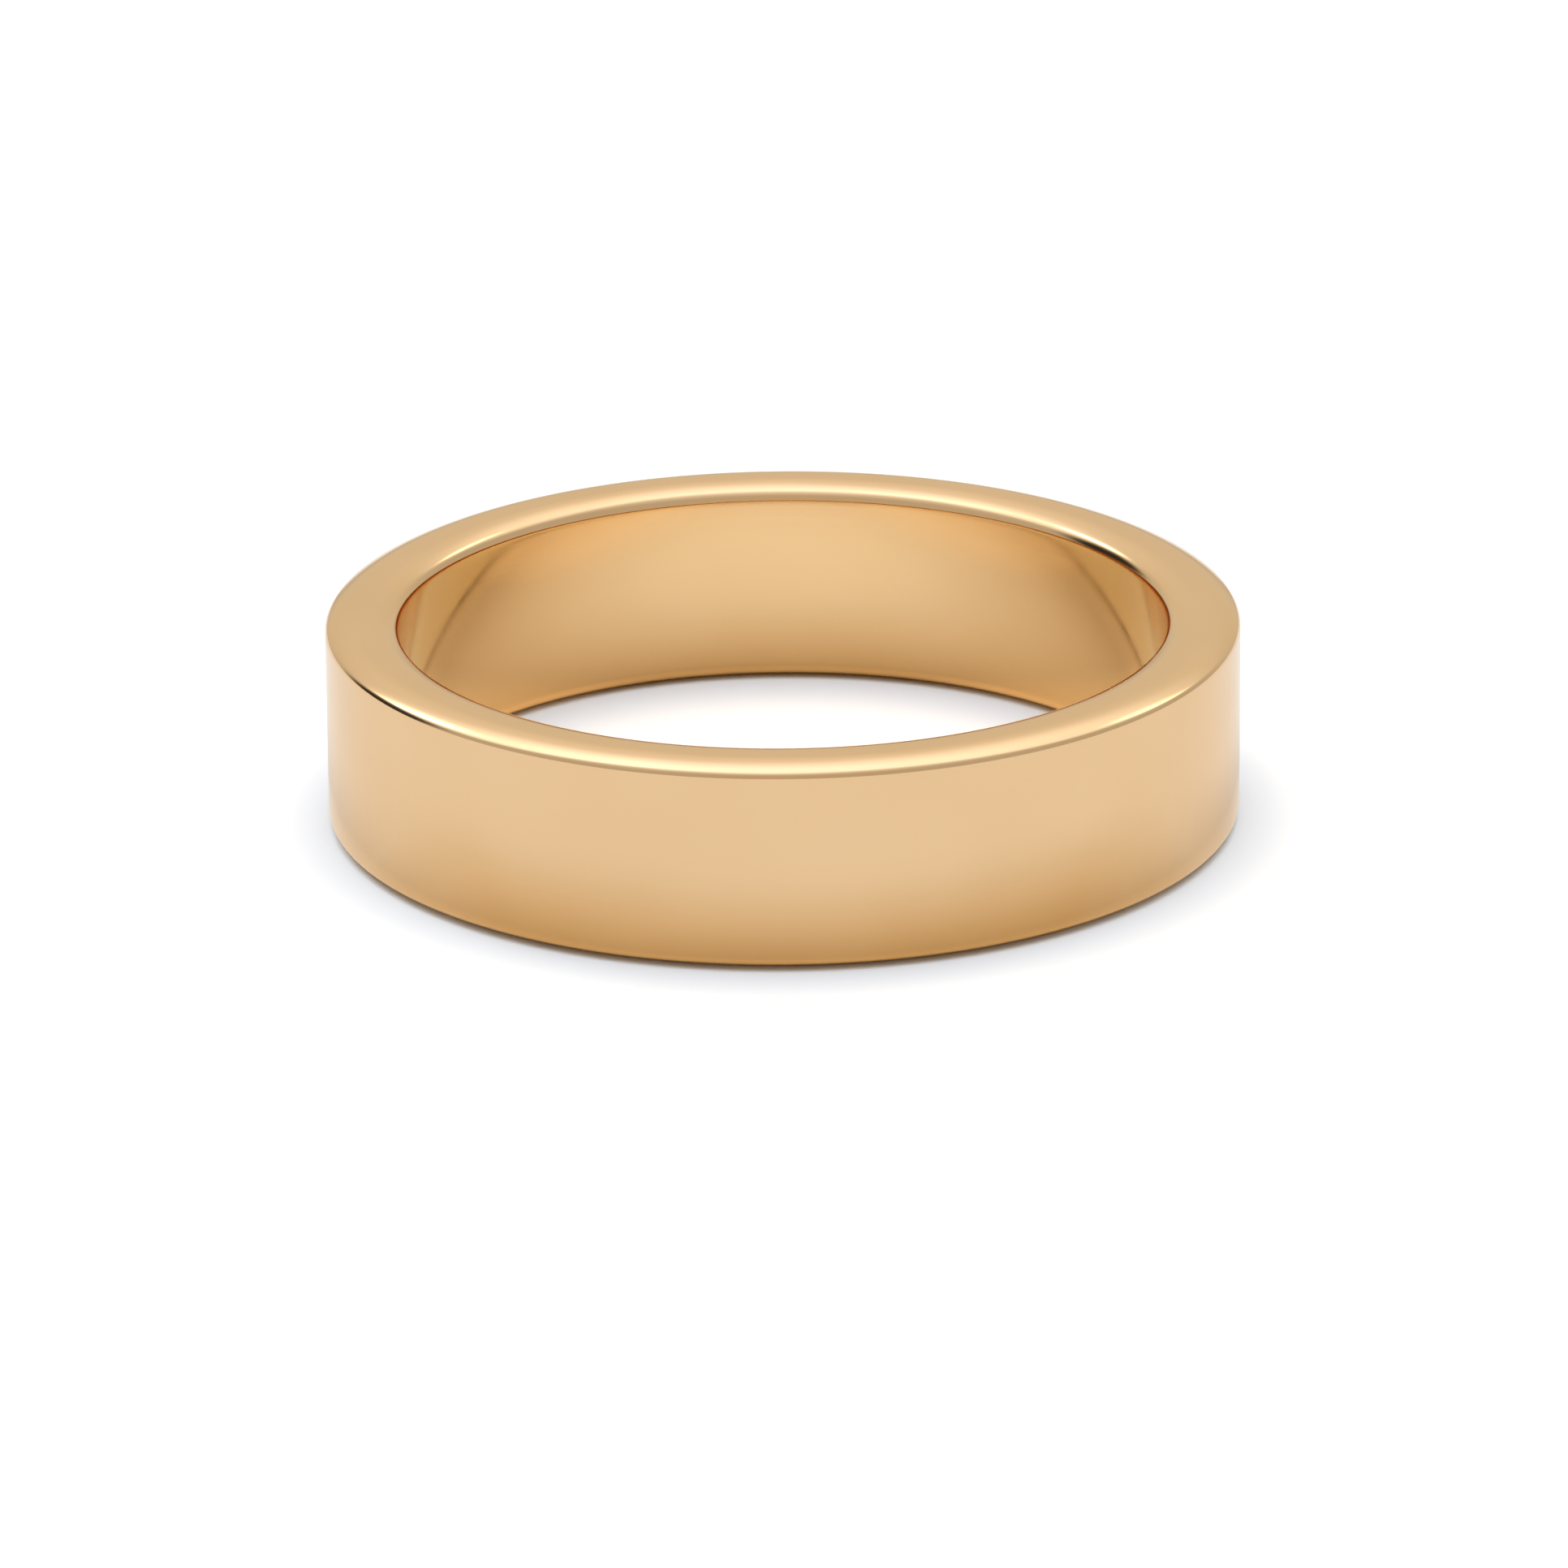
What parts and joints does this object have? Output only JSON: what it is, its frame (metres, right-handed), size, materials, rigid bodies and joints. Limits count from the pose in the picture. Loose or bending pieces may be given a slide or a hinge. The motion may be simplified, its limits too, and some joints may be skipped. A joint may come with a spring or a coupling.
{
  "type": "wedding band",
  "caption": "Plain flat wedding band: a polished gold ring with a straight outer face, gently crowned rims and softly rounded edges.",
  "frame": {"origin": "centre of the bore, level with the lower rim's flat strip, which the band stands on", "axes": "+Z along the finger's axis, up from the rim the band stands on; the band is round, so X and Y are free"},
  "size_m": [0.0216, 0.0216, 0.005],
  "materials": {
    "gold": "polished"
  },
  "bodies": {
    "root": {"band": "gold"}
  },
  "joints": []
}
